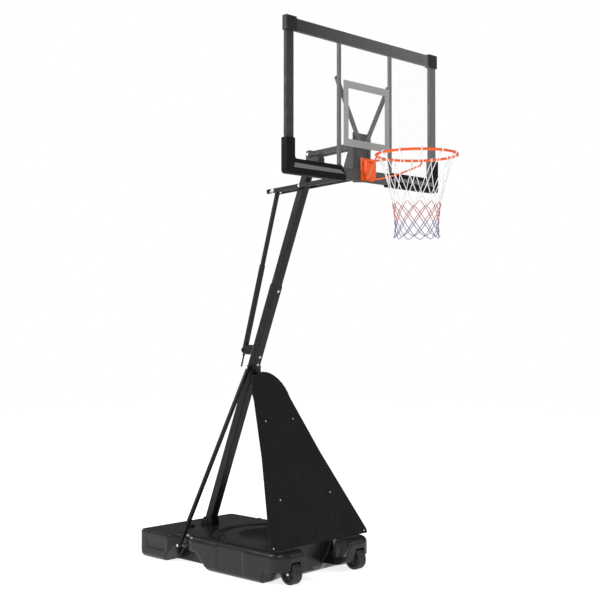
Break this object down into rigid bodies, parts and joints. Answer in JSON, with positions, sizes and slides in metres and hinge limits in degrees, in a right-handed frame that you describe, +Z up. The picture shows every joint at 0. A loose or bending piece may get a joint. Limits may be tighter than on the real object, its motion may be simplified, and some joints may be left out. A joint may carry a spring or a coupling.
{
  "type": "portable basketball hoop",
  "caption": "Wheeled water-tank base with a leaning steel pole, crank jack, lifting arms, framed clear backboard and a sprung orange rim with a net.",
  "frame": {"origin": "on the floor, at the centre of the tank's flat underside", "axes": "+Z up, -Y towards the court and the front face of the backboard, +X along the backboard's width"},
  "size_m": [1.402, 2.3105, 3.33],
  "materials": {
    "black_steel": "satin black powder coat",
    "tank_plastic": "blow-moulded black polyethylene, fine grain",
    "cap_plastic": "satin black moulded plastic",
    "pad_foam": "black moulded foam with a printed grey stripe",
    "panel_black": "satin black sheet",
    "acrylic": "clear acrylic with a printed grey target square",
    "rim_orange": "gloss orange powder coat",
    "zinc": "bright zinc plate",
    "net_cord": "braided cord, white at the top, then red, then blue",
    "wheel_plastic": "dark grey moulded plastic"
  },
  "bodies": {
    "base": {"base_tank": "tank_plastic", "front_panel": "panel_black", "jack_bracket": "black_steel", "panel_bracket": "black_steel", "panel_rail_left": "black_steel", "panel_rail_right": "black_steel", "pole_bolt_lower": "zinc", "pole_bolt_middle": "zinc", "pole_bolt_upper": "zinc", "pole_foot_bolt": "zinc", "pole_foot_bracket": "black_steel", "pole_lower": "black_steel", "pole_middle": "black_steel", "pole_sleeve": "black_steel", "pole_top_bracket": "black_steel", "pole_upper": "black_steel", "side_strut_left": "black_steel", "side_strut_right": "black_steel", "strut_foot_bolt_left": "zinc", "strut_foot_bolt_right": "zinc", "strut_top_bolt": "zinc", "wheel_axle_left": "zinc", "wheel_axle_right": "zinc"},
    "wheel_left": {"wheel_left": "wheel_plastic"},
    "wheel_right": {"wheel_right": "wheel_plastic"},
    "filler_cap": {"filler_cap": "cap_plastic"},
    "lower_arms": {"lower_arm_left": "black_steel", "lower_arm_right": "black_steel", "lower_pivot_bolt": "zinc"},
    "upper_arms": {"upper_arm_left": "black_steel", "upper_arm_right": "black_steel", "upper_pivot_bolt": "zinc"},
    "backboard": {"backboard_sheet": "acrylic", "frame_top": "black_steel", "frame_bottom": "black_steel", "frame_left": "black_steel", "frame_right": "black_steel", "corner_cap_left": "cap_plastic", "corner_cap_right": "cap_plastic", "pad_left": "pad_foam", "pad_right": "pad_foam", "rear_tube_left": "black_steel", "rear_tube_right": "black_steel", "brace_left": "black_steel", "brace_right": "black_steel", "board_bracket": "black_steel", "lower_front_bolt": "zinc", "upper_front_bolt": "zinc", "rim_back_plate": "rim_orange", "rim_hinge_pin": "zinc", "rim_spring_left": "zinc", "rim_spring_right": "zinc"},
    "rim": {"rim_ring": "rim_orange", "net": "net_cord"},
    "jack_outer": {"jack_foot_block": "black_steel", "jack_outer_tube": "black_steel"},
    "jack_inner": {"jack_inner_tube": "black_steel", "jack_top_pin": "zinc"},
    "jack_screw": {"jack_screw": "zinc", "crank_rod": "black_steel"}
  },
  "joints": [
    {"name": "wheel_left_spin", "type": "hinge", "parent": "base", "child": "wheel_left", "pos_m": [-0.294, -0.645, 0.0685], "axis": [1, 0, 0], "continuous": true},
    {"name": "wheel_right_spin", "type": "hinge", "parent": "base", "child": "wheel_right", "pos_m": [0.294, -0.645, 0.0685], "axis": [1, 0, 0], "continuous": true},
    {"name": "cap_turn", "type": "hinge", "parent": "base", "child": "filler_cap", "pos_m": [-0.13, 0.5, 0.185], "axis": [0, 0, 1], "range_deg": [0, 450]},
    {"name": "height", "type": "hinge", "parent": "base", "child": "lower_arms", "pos_m": [0, -0.46972, 2.462], "axis": [-1, 0, 0], "range_deg": [-28, 22]},
    {"name": "upper_arm_swing", "type": "hinge", "parent": "base", "child": "upper_arms", "pos_m": [0, -0.5469, 2.654], "axis": [-1, 0, 0], "range_deg": [-30, 24]},
    {"name": "board_level", "type": "hinge", "parent": "lower_arms", "child": "backboard", "pos_m": [0, -0.8472, 2.48178], "axis": [-1, 0, 0], "range_deg": [-24, 30]},
    {"name": "rim_breakaway", "type": "hinge", "parent": "backboard", "child": "rim", "pos_m": [0, -1.0185, 2.48], "axis": [1, 0, 0], "range_deg": [0, 15], "stiffness_Nm_per_rad": 500, "springref_deg": -20.05},
    {"name": "jack_swing", "type": "hinge", "parent": "base", "child": "jack_outer", "pos_m": [0, 0.085, 1.405], "axis": [-1, 0, 0], "range_deg": [-3, 3]},
    {"name": "jack_extend", "type": "slide", "parent": "jack_outer", "child": "jack_inner", "axis": [0, -0.2885, 0.9575], "range_m": [-0.1, 0.125]},
    {"name": "crank_turn", "type": "hinge", "parent": "jack_outer", "child": "jack_screw", "pos_m": [0, 0.085, 1.405], "axis": [0, -0.2885, 0.9575], "range_deg": [-7200, 5700]}
  ],
  "couplings": [
    {"joint": "upper_arm_swing", "follows": "height", "ratio": 1},
    {"joint": "board_level", "follows": "height", "ratio": -1},
    {"joint": "jack_swing", "follows": "height", "ratio": -0.07},
    {"joint": "jack_extend", "follows": "height", "m_per_rad": -0.242},
    {"joint": "crank_turn", "follows": "height", "ratio": 253.42}
  ]
}
